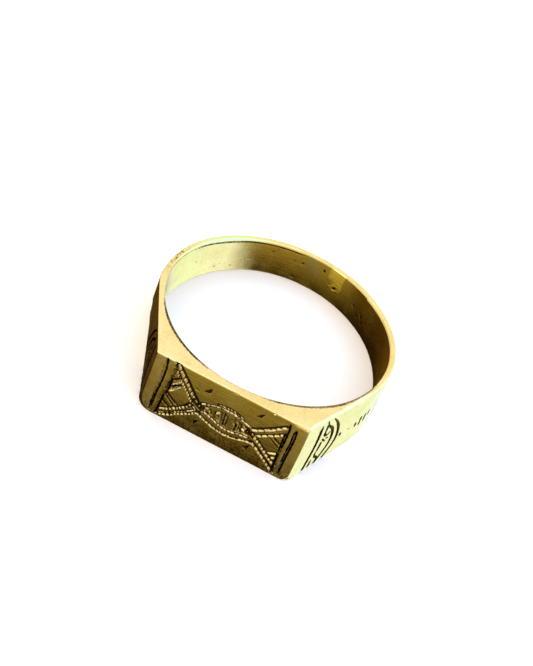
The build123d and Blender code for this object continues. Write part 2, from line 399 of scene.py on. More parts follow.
def almond_bars(cut):
    """Bars and end leaves inside the almond, whose ground is stained all over."""
    across = np.abs(cut.v - ALMOND_MIDDLE[1]) / ALMOND_HALF[1]
    along = (cut.u - ALMOND_MIDDLE[0]) / ALMOND_HALF[0]
    cut.dark = np.maximum(cut.dark, ALMOND_STAIN * ramp(-across - along**2, -1.0, -0.8))
    for points, width, depth, dark in (
        ([(-0.6, 0.34), (-0.64, 0)], 0.14, 0.12, 1.0),
        ([(-0.72, 0.1), (-0.74, -0.2), (-0.64, -0.5)], 0.26, 0.12, 0.6),
        ([(-0.2, 0.6), (-0.14, 0.1), (-0.04, -0.66)], 0.16, 0.12, 0.75),
        ([(-0.36, 0.1), (-0.24, -0.5)], 0.08, 0.08, 0.5),
        ([(0.1, 0.66), (0.12, 0), (0.2, -0.75)], 0.13, 0.14, 0.85),
        ([(0.32, 0.5), (0.38, -0.1), (0.34, -0.78)], 0.14, 0.13, 0.75),
        ([(0.96, 0.62), (1, 0)], 0.1, 0.08, 0.6),
        ([(1.1, 0.2), (1.14, -0.1), (1.1, -0.72)], 0.16, 0.14, 0.9),
        ([(1.3, 0.52), (1.38, -0.1), (1.34, -0.65)], 0.1, 0.12, 0.6),
        ([(1.5, 0.5), (1.54, 0), (1.62, -0.56)], 0.16, 0.13, 0.85),
        ([(-2.06, 0.26), (-1.98, 0.12)], 0.15, 0.13, 1.0),
        ([(-1.7, 0.2), (-1.46, 0.22), (-1.2, 0.36)], 0.15, 0.1, 0.6),
        ([(-1.5, 0.1), (-1.4, -0.1), (-1.1, -0.26)], 0.16, 0.12, 0.7),
        ([(-1.1, 0.3), (-0.96, -0.1), (-0.9, -0.36)], 0.12, 0.08, 0.5),
        ([(1.75, 0.5), (1.92, 0.26), (2.2, 0.12)], 0.13, 0.12, 0.9),
        ([(1.8, -0.3), (2.05, -0.36), (2.3, -0.36)], 0.12, 0.1, 0.8),
    ):
        cut.groove(points, width * 1.2, depth * 0.8, (0.1, 0.1), 0.2, dark=dark * 0.75, spread=0.025)


def punches_and_nicks(cut):
    """Four three-cornered punch marks outside the bands, and stray nicks."""
    cut.punch([(-1.5, 2.26), (-1.96, 1.76), (-1.54, 1.78)], 0.15)
    cut.punch([(2.86, 2.46), (2.38, 1.96), (2.68, 1.98)], 0.12)
    cut.punch([(-1.56, -1.44), (-1.98, -1.62), (-1.88, -2.02)], 0.14)
    cut.punch([(2.72, -1.28), (2.22, -1.74), (2.6, -1.84)], 0.14)
    cut.groove([(-2.72, 1.56), (-2.35, 1.48)], 0.1, 0.03, (0.2, 0.2), dark=0.3)
    cut.groove([(3.4, 2.94), (3.62, 3.02)], 0.16, 0.08, (0.1, 0.1), dark=0.2)
    cut.groove([(0.1, 3.02), (0.5, 3)], 0.1, 0.04, (0.1, 0.1), dark=0.3)


def engrave_table(u, v):
    """The table: u runs from its left to its right edge, and v up from its middle line."""
    cut = Relief(u, v)
    beaded_bands(cut)
    plain_lines(cut)
    crossings(cut)
    borders(cut)
    corner_cuts(cut)
    bright_cuts(cut)
    almond_bars(cut)
    punches_and_nicks(cut)
    return cut.finish(BED)


def engrave_shoulder(u, v):
    """Each shoulder: an upright line, a broken line, two bowed lines behind them and a row of dashes.

    u runs along the shoulder from the table's corner to the back, and v up from its middle line.
    """
    cut = Relief(u, v)
    for points, width, depth, taper, rough in (
        # the upright line
        ([(1.78, 2.46), (1.92, 1.2), (2.0, 0.0), (1.93, -1.3), (1.72, -3.05)],
         0.34, 0.2, (0.5, 0.05), 0.1),
        # the broken line
        ([(2.44, 2.2), (2.6, 1.7), (2.62, 1.2), (2.72, 0.88), (3.08, 0.6)], 0.24, 0.16, (0.5, 0.15), 0.2),
        ([(2.58, 0.5), (2.84, 0.2), (3.2, -0.15)], 0.14, 0.12, (0.2, 0.3), 0.0),
        ([(2.66, 0.1), (2.72, -0.5), (2.66, -1.15)], 0.28, 0.18, (0.25, 0.25), 0.2),
        ([(2.56, -1.15), (2.7, -1.7), (3.2, -2.15)], 0.22, 0.15, (0.2, 0.1), 0.2),
        ([(2.46, -2.0), (2.4, -2.85)], 0.26, 0.14, (0.2, 0.1), 0.0),
        ([(3.2, -2.1), (3.12, -2.5), (2.95, -2.9)], 0.22, 0.12, (0.1, 0.1), 0.0),
        # the two bowed lines
        ([(2.36, 2.66), (2.72, 2.0), (3.3, 1.42), (3.72, 0.6), (3.92, -0.3), (3.88, -1.05), (3.62, -1.8),
          (3.1, -2.85)], 0.3, 0.19, (2.2, 0.1), 0.15),
        ([(3.06, 2.6), (3.6, 2.02), (4.1, 1.25), (4.48, 0.4), (4.7, -0.6), (4.62, -1.45), (4.28, -2.2),
          (3.85, -2.9)], 0.29, 0.18, (2.0, 0.2), 0.15),
        # nicks
        ([(3.24, 1.0), (3.14, 0.68)], 0.18, 0.08, (0.1, 0.1), 0.0),
        ([(3.1, 0.32), (3.42, 0.12)], 0.14, 0.06, (0.1, 0.1), 0.0),
        ([(5.12, -0.38), (5.3, -0.8)], 0.24, 0.15, (0.15, 0.15), 0.0),
        ([(6.15, -0.45), (6.22, -0.62)], 0.12, 0.04, (0.1, 0.1), 0.0),
    ):
        cut.groove(points, width, depth, taper, rough)
    for s, top, bottom, width in (
        (6.98, -0.3, -0.85, 0.22),
        (7.5, 0.1, -0.45, 0.27),
        (7.56, -0.5, -1.0, 0.24),
        (8.1, 0.1, -0.9, 0.26),
        (8.62, 0.15, -0.55, 0.22),
    ):
        cut.groove([(s, top), (s + 0.12, bottom)], width, 0.15, (0.15, 0.15))
    return cut.finish()


# -------- the ring's surfaces

# Angles of the points across a rounded edge
ROUNDING = np.linspace(0, pi / 2, 7)

# Distances between the mesh's stations along the shoulders, with marks and without, and the stretches,
# measured from the table's corner, that hold the carved lines and the dashes
MARK_STEP = 0.05
PLAIN_STEP = 0.16
LINES_FROM, LINES_TO = 1.2, 5.4
DASHES_FROM, DASHES_TO = 6.4, 9.0


def spaced(start, end, spacing):
    """Evenly spaced stations from start up to, and without, end."""
    return np.linspace(start, end, max(1, round((end - start) / spacing)), endpoint=False)


def arc_points(start, end, spacing):
    """Stations on the shank's outer circle, from one angle to another in degrees."""
    count = max(2, int(abs(radians(end - start)) * OUTER / spacing) + 1)
    angles = np.radians(np.linspace(start, end, count))
    direction = np.stack([np.cos(angles), np.sin(angles)], axis=1)
    return direction * OUTER, direction


def side_path(corner_radius):
    """The right half of the head's outline from the table to the shank: point, normal, distance."""
    reach = corner_radius * tan(TURN / 2)
    middle = CORNER + np.array([-reach, corner_radius])
    turns = np.linspace(0, TURN, 9)[1:-1]
    normal = np.stack([np.sin(turns), -np.cos(turns)], axis=1)
    corner = middle + normal * corner_radius
    s = np.concatenate([
        spaced(reach, LINES_FROM, PLAIN_STEP),
        spaced(LINES_FROM, LINES_TO, MARK_STEP),
        spaced(LINES_TO, DASHES_FROM, PLAIN_STEP),
        spaced(DASHES_FROM, STRAIGHT, MARK_STEP),
    ])
    straight = CORNER + s[:, None] * ALONG
    last_mark = degrees(TANGENT_ANGLE + (DASHES_TO - STRAIGHT) / OUTER)
    marked, marked_normal = arc_points(degrees(TANGENT_ANGLE), last_mark, MARK_STEP)
    plain, plain_normal = arc_points(last_mark, 0, PLAIN_STEP)
    arc = np.vstack([marked, plain[1:]])
    arc_normal = np.vstack([marked_normal, plain_normal[1:]])
    s_arc = STRAIGHT + (np.arctan2(arc[:, 1], arc[:, 0]) - TANGENT_ANGLE) * OUTER
    points = np.vstack([corner, straight, arc])
    normals = np.vstack([normal, np.tile(ACROSS, (len(s), 1)), arc_normal])
    distance = np.concatenate([np.zeros(len(corner)), s, s_arc])
    return points, normals, distance


# The flat filed on the left shoulder: two points of its upper edge as (distance from the table's corner,
# height), its slope, the thinnest wall that it leaves, and the swell of the metal behind it
FLAT_START = np.array([0.4, -3.05])
FLAT_END = np.array([7.4, 0.2])
FLAT_SLOPE = 0.22
LEAST_WALL = 0.18
SWELL = 0.08


def left_flat(s, z):
    """Depth of the flat filed on the lower half of the left shoulder, less the swell behind it."""
    run = (FLAT_END - FLAT_START) / np.linalg.norm(FLAT_END - FLAT_START)
    below = (s - FLAT_START[0]) * run[1] - (z - FLAT_START[1]) * run[0]
    curve_away = OUTER * (1 - np.cos(np.maximum(s - STRAIGHT, 0) / OUTER))
    gap = FLAT_SLOPE * below - curve_away
    flat = 0.5 * (gap + np.sqrt(gap**2 + 0.0004)) * ramp(gap, -0.06, 0.02)
    wall = np.hypot(OUTER, np.maximum(STRAIGHT - s, 0)) - BORE
    most = wall - LEAST_WALL
    limited = 0.5 * (flat + most - np.sqrt((flat - most) ** 2 + 0.01))
    swell = SWELL * ramp(s, 7.2, 9.0) * ramp(-s, -10.8, -9.0)
    return np.maximum(limited * ramp(-s, -10.9, -8.2), 0) - swell


def front_rim(turn):
    """1 behind the head, where the edge of the finger hole is rubbed wide, and 0 elsewhere."""
    return ramp(turn, 200, 235) * ramp(-turn, -340, -318)


def bore_edge(angle):
    """Radius of the softened edge at the top of the finger hole, which was scraped wider in places."""
    turn = np.degrees(angle) % 360
    back_left = ramp(turn, 90, 98) * ramp(-turn, -196, -176)
    widest = ramp(turn, 122, 136) * ramp(-turn, -156, -140)
    step_right = ramp(turn, 20, 48) * ramp(-turn, -55.5, -54.5)
    return 0.09 + 0.17 * back_left + 0.1 * widest + 0.16 * step_right + 0.16 * front_rim(turn)


def pits(turn, z):
    """Pits in the wall of the finger hole: their depth, and how dark the patina lies in them."""
    arc = radians(1) * BORE
    depth = np.zeros(z.shape)
    recess = np.zeros(z.shape)
    # angle round the ring, height, half length, half width, tilt in degrees, depth
    for at, height, wide, tall, tilt, deep in (
        (75.2, -0.1, 0.2, 0.12, -35, 0.03),
        (73.6, -0.45, 0.16, 0.05, -40, 0.01),
        (61.0, 0.0, 0.13, 0.1, 20, 0.025),
        (54.0, -0.25, 0.26, 0.09, 60, 0.03),
        (52.0, -0.7, 0.2, 0.07, 75, 0.02),
        (57.0, -0.6, 0.2, 0.1, 10, 0.01),
        (49.0, -0.35, 0.16, 0.08, 70, 0.02),
        (98.5, -1.2, 0.16, 0.07, 10, 0.03),
        (95.5, 0.6, 0.1, 0.1, 0, 0.02),
        (83.5, 0.95, 0.16, 0.12, 60, 0.02),
        (100.0, 0.55, 0.1, 0.06, 80, 0.01),
        (78.5, 0.05, 0.12, 0.06, 0, 0.01),
        (112.0, 0.85, 0.2, 0.05, -50, 0.02),
        (110.0, 1.2, 0.14, 0.05, 80, 0.01),
        (156.0, 0.25, 0.11, 0.07, 30, 0.02),
        (141.5, -1.15, 0.14, 0.06, 10, 0.02),
        (138.5, -0.9, 0.08, 0.05, 0, 0.01),
        (144.0, -1.2, 0.08, 0.05, 0, 0.01),
        (132.5, -1.2, 0.16, 0.05, -20, 0.02),
        (38.0, 0.3, 0.1, 0.06, 50, 0.01),
    ):
        c, s = cos(radians(tilt)), sin(radians(tilt))
        across, up = (turn - at) * arc, z - height
        along, aside = across * c + up * s, up * c - across * s
        pit = np.exp(-(((along / wide) ** 2 + (aside / tall) ** 2) ** 1.5))
        depth = depth + deep * pit
        recess = np.maximum(recess, 0.9 * pit)
    return depth, recess


def wall_wear(angle, z):
    """Wear and patina of the finger hole's wall: hollowed edges, pits, and a shallow line darkened as a
    painted ledge shadow.
    """
    turn = np.degrees(angle) % 360
    thin = ramp(turn, 182, 190) * ramp(-turn, -232, -216) * ramp(-z, -0.2, 0.8)
    bowl = 0.07 * ((z - 0.5) / 1.8) ** 2 * (1 - 0.9 * thin)
    depth, recess = pits(turn, z)
    top = half_width(np.sin(angle) * BORE) - 0.9 * bore_edge(angle)
    # painted shadow: a dark line just under the ledge of the softened upper edge, on a very shallow groove
    line = np.exp(-(((z - top) / 0.07) ** 2)) * ramp(turn, 92, 100) * ramp(-turn, -168, -150)
    return bowl + depth + 0.02 * line, np.maximum(recess, 0.95 * line)


def waves(a, b, size):
    """A slow unevenness of hand-filed metal."""
    return size * (np.sin(a * 0.9 + 1.3 * np.sin(b * 0.7)) + 0.6 * np.sin(b * 1.7 + a * 0.55 + 2.0)) / 1.6


# The softened edges of the finger hole: radius of the lower one, and how far they follow the wall's wear
LOWER_BORE_EDGE = 0.1
MOST_EDGE_WEAR = 0.12


def side_column(first, last, sign):
    """A column of points on the upper (1) or lower (-1) side face, midway between two others."""
    x = (first[0] + last[0]) / 2
    y = (first[1] + last[1]) / 2
    return x, y, sign * half_width(y), np.zeros(x.shape)


def front_edge_shade(turn, phi):
    """Painted shade on the finger hole's front edge: heavy at the left, faint in the middle, fair at the
    right.
    """
    amount = 0.2 + 0.52 * ramp(-turn, -262, -245) + 0.42 * ramp(turn, 280, 290)
    return amount * ramp(turn, 198, 215) * ramp(-turn, -356, -342) * ramp(phi, 0.5, 0.8)


def bore_wall(high, low, x_y_at, wall_rows):
    """Columns of the finger hole from its upper to its lower edge, whose radii are high and low."""
    wall = []
    for phi in ROUNDING[::-1]:
        r = BORE + high * (1 - np.cos(phi))
        x, y = x_y_at(r)
        # painted shade on the upper part of the softened edge at the front of the finger hole
        darkening = front_edge_shade(np.degrees(np.arctan2(y, x)) % 360, phi)
        wall.append((x, y, half_width(y) - high * (1 - np.sin(phi)), darkening))
    for t in np.linspace(0, 1, wall_rows + 2)[1:-1] ** 1.2:
        x, y = x_y_at(BORE)
        h = half_width(y)
        z = (h - high) * (1 - t) + (-h + low) * t
        depth, recess = wall_wear(np.arctan2(y, x), z)
        x, y = x_y_at(BORE + depth)
        wall.append((x, y, z, recess))
    for phi in ROUNDING:
        r = BORE + low * (1 - np.cos(phi))
        x, y = x_y_at(r)
        wall.append((x, y, -half_width(y) + low * (1 - np.sin(phi)), np.zeros(x.shape)))

    # the softened edges follow the worn wall
    for k in list(range(len(ROUNDING))) + list(range(-len(ROUNDING), 0)):
        x, y, z, recess = wall[k]
        r = np.hypot(x, y)
        depth, worn = wall_wear(np.arctan2(y, x), z)
        grow = (r + np.minimum(depth, MOST_EDGE_WEAR)) / r
        wall[k] = (x * grow, y * grow, z, np.maximum(recess, worn))
    return wall


def loop_columns(outer_rows, high, x_y_at, wall_rows):
    """Closes a section: upper side face, finger hole and lower side face, after the outer face.

    outer_rows: (x, y, z, recess) for each row of the outer face, from the lower to the upper side.
    high: radius of the finger hole's upper edge at each station.
    x_y_at: x and y of a wall point at each station, for a given radius.
    """
    wall = bore_wall(high, np.full(high.shape, LOWER_BORE_EDGE), x_y_at, wall_rows)

    # the painted shade on the upper edge ends in a narrow margin on the side face
    x, y, _, recess = wall[0]
    front = front_rim(np.degrees(np.arctan2(y, x)) % 360)
    margins = []
    for reach, share in ((0.07 + 0.06 * front, 0.0), (0.03 + 0.06 * front, 0.85)):
        grow = 1 + reach / BORE
        margins.append((x * grow, y * grow, half_width(y * grow), share * recess))
    return [
        *outer_rows,
        side_column(outer_rows[-1], margins[0], 1),
        *margins,
        *wall,
        side_column(wall[-1], outer_rows[0], -1),
    ]


# Marks on the wall of the finger hole, by angle round the ring: the middle of the smeared grey solder,
# and bright specks as angle, height, half length in degrees and half width
SOLDER_MIDDLE = 90.2
BRIGHT_SPECKS = ((108.0, -0.55, 0.8, 0.12), (123.0, -0.4, 1.6, 0.06))


def wall_marks(grid):
    """How much solder, bright filed gold and brown tarnish there is at each point of the finger hole."""
    turn = np.degrees(np.arctan2(grid[..., 1], grid[..., 0])) % 360
    z = grid[..., 2]
    on_wall = np.hypot(grid[..., 0], grid[..., 1]) < BORE + 0.15
    upper = ramp(z, -0.9, 0.1)
    rim = half_width(grid[..., 1]) - bore_edge(np.radians(turn))
    below_rim = on_wall * ramp(rim - z, -0.06, 0.04)
    solder = below_rim * ramp(-np.abs(turn - SOLDER_MIDDLE), -5.6, -2.8) * (0.25 + 0.75 * upper)
    filed = ramp(turn, INSERT_START - 0.1, INSERT_START + 0.1) * ramp(-turn, -83, -76)
    bright = on_wall * filed * upper
    for at, height, wide, tall in BRIGHT_SPECKS:
        speck = np.exp(-(((turn - at) / wide) ** 2) - ((z - height) / tall) ** 2)
        bright = np.maximum(bright, on_wall * speck)
    brown = on_wall * ramp(-turn, -138, -127)
    return ("solder", solder), ("bright", bright), ("brown", brown)


def grid_object(name, columns):
    """A closed mesh from the columns of points round a section, with its marks."""
    grid = np.stack([np.stack(c[:3], axis=1) for c in columns], axis=1)
    recess = np.stack([c[3] for c in columns], axis=1)
    stations, loop = grid.shape[:2]
    i = np.arange(stations - 1)[:, None] * loop
    j = np.arange(loop)[None, :]
    k = (j + 1) % loop
    quads = np.stack([i + j, i + loop + j, i + loop + k, i + k], axis=-1).reshape(-1, 4)
    faces = quads.tolist()
    faces.append(list(range(loop)))
    faces.append(list(range((stations - 1) * loop, stations * loop))[::-1])
    mesh = bpy.data.meshes.new(name)
    mesh.from_pydata((grid.reshape(-1, 3) * MM).tolist(), [], faces)
    mesh.update()
    # the recess mark holds the patina in the cuts and pits, and painted shade along the finger hole's
    # upper edge
    for label, amount in (("recess", recess), *wall_marks(grid)):
        mark = mesh.attributes.new(label, "FLOAT", "POINT")
        mark.data.foreach_set("value", amount.reshape(-1).astype(np.float32))
    mesh.shade_smooth()
    mesh.set_sharp_from_angle(angle=radians(62))
    for end_cap in (-1, -2):
        mesh.polygons[end_cap].use_smooth = False
    piece = bpy.data.objects.new(name, mesh)
    bpy.context.collection.objects.link(piece)
    return piece


def upper_edge(x, y):
    """Radius of the outer face's upper edge, which is worn rounder along the right shoulder."""
    turn = np.degrees(np.arctan2(y, x))
    return UPPER_EDGE + SHOULDER_ROUNDING * ramp(turn, -58.2, -56) * ramp(-turn, -30, 25)


def outer_profile(h, upper, rows):
    """Height and inset of each row of the outer face, for half width h and an upper edge radius."""
    profile = []
    for phi in ROUNDING[:-1]:
        inset = np.full(h.shape, LOWER_EDGE * (1 - sin(phi)))
        profile.append((-h + LOWER_EDGE * (1 - cos(phi)), inset))
    for t in np.linspace(0, 1, rows):
        profile.append(((-h + LOWER_EDGE) * (1 - t) + (h - upper) * t, np.zeros(h.shape)))
    for phi in ROUNDING[::-1][1:]:
        profile.append((h - upper * (1 - cos(phi)), upper * (1 - sin(phi))))
    z = np.stack([p[0] for p in profile], axis=1)
    inset = np.stack([p[1] for p in profile], axis=1)
    return z, inset


# Stations across the table, rows up the outer faces and rows up the finger hole; how much nearer to the
# table the left shoulder's marks are; and the unevenness of the outer faces
TABLE_STATIONS = 276
HEAD_ROWS = 116
SHANK_ROWS = 30
HEAD_WALL_ROWS = 16
SHANK_WALL_ROWS = 40
LEFT_MARKS_NEARER = 0.42
WAVE = 0.008

# How far the table's middle stands out, and how much of that is lost at its long edges
CROWN = 0.08
CROWN_FALL = 0.065

# Faces of the head
LEFT, MIDDLE, RIGHT = -1, 0, 1


def head_outline():
    """The head's outline from its left to its right seam: point, normal, distance along and face."""
    right, right_normal, right_s = side_path(RIGHT_CORNER)
    left, left_normal, left_s = side_path(LEFT_CORNER)
    left, left_normal = left * [-1, 1], left_normal * [-1, 1]
    left_reach, right_reach = (r * tan(TURN / 2) for r in (LEFT_CORNER, RIGHT_CORNER))
    x = np.linspace(-HALF_LENGTH + left_reach, HALF_LENGTH - right_reach, TABLE_STATIONS)
    table = np.stack([x, np.full_like(x, -TABLE)], axis=1)
    outer = np.vstack([left[::-1], table, right])
    normal = np.vstack([left_normal[::-1], np.tile([0.0, -1.0], (len(x), 1)), right_normal])
    along = np.concatenate([left_s[::-1], x, right_s])
    face = np.repeat([LEFT, MIDDLE, RIGHT], [len(left), len(x), len(right)])
    return outer, normal, along, face


def head_relief(h, u, z, face):
    """Height of the head's worn and engraved outer face over its plain outline, and its patina."""
    height = np.zeros(z.shape)
    recess = np.zeros(z.shape)
    for which, carve, shift in (
        (LEFT, engrave_shoulder, LEFT_MARKS_NEARER),
        (MIDDLE, engrave_table, 0.0),
        (RIGHT, engrave_shoulder, 0.0),
    ):
        rows = face == which
        height[rows], recess[rows] = carve(u[rows] + shift, z[rows])

    # marks stop just short of the upper edge
    low, high = z + h[:, None], h[:, None] - z
    inner = ramp(high, 0.01, 0.06)
    height, recess = height * inner, recess * inner

    left, table, right = (face[:, None] == which for which in (LEFT, MIDDLE, RIGHT))
    to_left = np.where(table, u + HALF_LENGTH, np.where(left, u, FAR))
    to_right = np.where(table, HALF_LENGTH - u, np.where(right, u, FAR))
    height += corners_worn(to_left, to_right, low, high)
    height -= np.where(left, left_flat(u, z), 0)
    fall = CROWN_FALL * (z / HEAD_HALF) ** 2 - CROWN
    height -= np.where(table, fall, fall * ramp(-u, -0.8, 0))
    height -= np.where(table, 0.06 * ramp(u, 4.9, 5.6) * ramp(-high, -0.3, 0), 0)
    height -= WAVE + waves(u, z, WAVE)
    return height, recess


def build_head():
    """The head: an engraved outer face, a plain wall behind it, and flat ends at the seams."""
    outer, normal, along, face = head_outline()
    h = half_width(outer[:, 1])
    z, inset = outer_profile(h, upper_edge(outer[:, 0], outer[:, 1]), HEAD_ROWS)
    u = np.repeat(along[:, None], z.shape[1], axis=1)
    height, recess = head_relief(h, u, z, face)
    rows = []
    for j in range(z.shape[1]):
        out = height[:, j] - inset[:, j]
        x, y = (outer + normal * out[:, None]).T
        rows.append((x, y, z[:, j], recess[:, j]))
    angle = np.arctan2(outer[:, 1], outer[:, 0])
    angle[0] = -pi

    def x_y_at(r):
        return np.cos(angle) * r, np.sin(angle) * r

    columns = loop_columns(rows, bore_edge(angle), x_y_at, HEAD_WALL_ROWS)

    # the first and last stations lie flat against the seams
    half_seam = HEAD_SEAM / 2
    for x, y, _, _ in columns:
        for k, side in ((0, -1), (-1, 1)):
            r = hypot(x[k], y[k])
            x[k] = side * (r**2 - half_seam**2) ** 0.5
            y[k] = -half_seam
    return grid_object("head_worn", columns)


def build_arc(name, start, end, spacing):
    """Part of the shank or a seam. Each end is its seam's (angle, inside width, outside width, side)."""

    def angle_at(edge, r):
        angle, inside, outside, side = edge
        width = inside + (outside - inside) * np.clip((r - BORE) / THICKNESS, 0, 1)
        return radians(angle) + side * width / 2 / r

    count = max(2, int(abs(radians(end[0] - start[0])) * OUTER / spacing) + 2)
    t = np.linspace(0, 1, count)

    def x_y_at(r):
        angle = angle_at(start, r) * (1 - t) + angle_at(end, r) * t
        return np.cos(angle) * r, np.sin(angle) * r

    x, y = x_y_at(np.full(count, OUTER))
    z, inset = outer_profile(half_width(y), upper_edge(x, y), SHANK_ROWS)
    rows = []
    for j in range(z.shape[1]):
        r = OUTER - inset[:, j] - WAVE - waves(np.arctan2(y, x) * OUTER, z[:, j], WAVE)
        rows.append((*x_y_at(r), z[:, j], np.zeros(count)))
    return grid_object(name, loop_columns(rows, bore_edge(np.arctan2(y, x)), x_y_at, SHANK_WALL_ROWS))


# -------- materials


class Nodes:
    """Short forms for building a node material."""

    def __init__(self, tree):
        self.tree = tree

    def node(self, kind, **values):
        n = self.tree.nodes.new(kind)
        for key, value in values.items():
            if hasattr(n, key):
                setattr(n, key, value)
            else:
                n.inputs[key.replace("_", " ")].default_value = value
        return n

    def link(self, a, b):
        self.tree.links.new(a, b)

    def split(self, vector):
        n = self.node("ShaderNodeSeparateXYZ")
        self.link(vector, n.inputs[0])
        return n.outputs

    def math(self, operation, a, b=0.0):
        n = self.node("ShaderNodeMath", operation=operation)
        for socket, value in zip(n.inputs, (a, b)):
            if isinstance(value, (int, float)):
                socket.default_value = value
            else:
                self.link(value, socket)
        return n.outputs[0]

    def times(self, result, *factors):
        for factor in factors:
            result = self.math("MULTIPLY", result, factor)
        return result

    def plus(self, result, *terms):
        for term in terms:
            result = self.math("ADD", result, term)
        return result

    def mix(self, factor, a, b):
        n = self.node("ShaderNodeMix", data_type="RGBA")
        for socket, value in ((n.inputs[0], factor), (n.inputs[6], a), (n.inputs[7], b)):
            if isinstance(value, (int, float)):
                socket.default_value = value
            elif isinstance(value, tuple):
                socket.default_value = (*value, 1)
            else:
                self.link(value, socket)
        return n.outputs[2]

    def ramp(self, value, low, high, to_low=0.0, to_high=1.0):
        n = self.node("ShaderNodeMapRange", interpolation_type="SMOOTHSTEP")
        self.link(value, n.inputs[0])
        for socket, number in zip(n.inputs[1:5], (low, high, to_low, to_high)):
            socket.default_value = number
        return n.outputs[0]


class GoldNodes(Nodes):
    """The textures, marks and directions that the parts of a gold material share."""

    def __init__(self, tree):
        super().__init__(tree)
        self.place = self.node("ShaderNodeTexCoord").outputs["Object"]
        self.normal = self.split(self.node("ShaderNodeNewGeometry").outputs["Normal"])
        self.where = self.split(self.place)
        self.cloud = self.noise(260.0)
        self.blotch = self.noise(900.0)
        self.grain = self.noise(5200.0, 3.0)
        self.streaks = self.noise(7000.0, 3.0, 0.6, (1.0, 1.0, 0.25))
        self.table = self.ramp(self.normal["Y"], -0.9, -0.97)
        self.low_on_table = self.times(self.table, self.ramp(self.where["Z"], -0.0006, -0.0028))

    def noise(self, scale, detail=4.0, rough=0.55, stretch=None):
        source = self.place
        if stretch:
            mapping = self.node("ShaderNodeMapping")
            mapping.inputs["Scale"].default_value = stretch
            self.link(self.place, mapping.inputs["Vector"])
            source = mapping.outputs["Vector"]
        texture = self.node("ShaderNodeTexNoise", Scale=scale, Detail=detail, Roughness=rough)
        self.link(source, texture.inputs["Vector"])
        return texture.outputs["Fac"]

    def mark(self, label):
        return self.node("ShaderNodeAttribute", attribute_name=label).outputs["Fac"]

    def broken(self, value, texture, size):
        """A value made uneven by a texture, whose middle is 0.5."""
        return self.plus(value, self.times(self.math("SUBTRACT", texture, 0.5), size))

    def patch(self, label, unevenness, start, most):
        """A mark's amount, with an uneven edge."""
        amount = self.mark(label)
        uneven = self.ramp(self.broken(amount, self.blotch, unevenness), start, 0.8)
        return self.times(uneven, self.ramp(amount, 0.02, 0.2, 0.0, most))


SOLDER_TONE = (0.47, 0.40, 0.30)
BRIGHT_TONE = (1.0, 0.72, 0.20)
# painted highlight: the pale mint tint of the highlight on the finger hole's rim at the back left
PALE_HIGHLIGHT_TONE = (0.64, 0.62, 0.21)
BROWN_TONE = (0.62, 0.42, 0.12)
# colour of the patina in the cuts and pits, and of the painted shade along the finger hole's upper edge
PATINA_AND_SHADE_TONE = (0.028, 0.012, 0.002)
EDGE_TINT = (1.0, 0.82, 0.5, 1)


def dimmed(tone, share):
    return tuple(c * share for c in tone)


def bare_tone(n, base, deep, bright):
    """The metal's colour without its patina and with a painted rim highlight, where bright is the amount
    of freshly filed gold.
    """
    tone = n.mix(n.ramp(n.cloud, 0.35, 0.68), base, deep)
    tone = n.mix(n.times(n.ramp(n.blotch, 0.6, 0.74), 0.3), tone, dimmed(deep, 0.62))
    tone = n.mix(n.ramp(n.grain, 0.35, 0.7, 0.0, 0.3), tone, dimmed(deep, 0.7))
    tone = n.mix(n.mark("brown"), tone, n.mix(n.cloud, BROWN_TONE, dimmed(BROWN_TONE, 0.85)))
    tone = n.mix(n.patch("solder", 1.4, 0.25, 0.85), tone, SOLDER_TONE)
    tone = n.mix(bright, tone, BRIGHT_TONE)
    # painted highlight: the upward-facing rim at the back left takes the pale tint of its highlight
    pale_highlight_rim = n.times(
        n.ramp(n.normal["Z"], 0.3, 0.7),
        n.ramp(n.where["Y"], 0.001, 0.006),
        n.ramp(n.where["X"], -0.0035, -0.0058),
    )
    return n.mix(pale_highlight_rim, tone, PALE_HIGHLIGHT_TONE)


def darkening(n):
    """Streaks low on the table, a darker band along its lower edge, and a speckled stretch of the upper
    side face at the left.
    """
    foot = n.times(n.table, n.ramp(n.where["Z"], -0.0026, -0.0031))
    streaked = n.times(n.low_on_table, n.ramp(n.streaks, 0.42, 0.66), 0.7)
    speckled = n.times(
        n.ramp(n.normal["Z"], 0.93, 0.98),
        n.ramp(n.where["X"], -0.0078, -0.0088),
        n.ramp(n.where["Y"], -0.0009, 0.0),
        n.ramp(n.where["Y"], 0.0034, 0.002),
        n.ramp(n.grain, 0.46, 0.6, 0.0, 0.7),
    )
    return n.math("MAXIMUM", n.plus(streaked, n.times(foot, 0.16)), speckled)


def dullness(n, roughness, patina_and_shade, bright):
    """Roughness, which is higher in the patina and painted shade and along the table's ends, and lower on
    filed gold.
    """
    rough = n.ramp(n.blotch, 0.3, 0.75, roughness * 0.8, roughness * 1.35)
    rough = n.math("SUBTRACT", n.plus(rough, n.times(patina_and_shade, 0.14)), n.times(bright, 0.06))
    ends = n.times(n.table, n.ramp(n.math("ABSOLUTE", n.where["X"]), 0.0049, 0.0053))
    return n.plus(rough, n.times(ends, 0.12))


def scuffs(n):
    """Fine scratches, small dents and grain."""
    scratches = n.noise(1500.0, 2.0, 0.5, (0.12, 1.0, 9.0))
    cross = n.noise(1300.0, 2.0, 0.5, (7.0, 1.0, 0.5))
    relief = n.plus(
        n.times(scratches, 0.5),
        n.times(cross, 0.35),
        n.times(n.blotch, 0.8),
        n.times(n.grain, 0.25),
        n.times(n.streaks, n.low_on_table, 0.8),
    )
    bump = n.node("ShaderNodeBump", Strength=0.5, Distance=0.00003)
    n.link(relief, bump.inputs["Height"])
    return bump.outputs["Normal"]


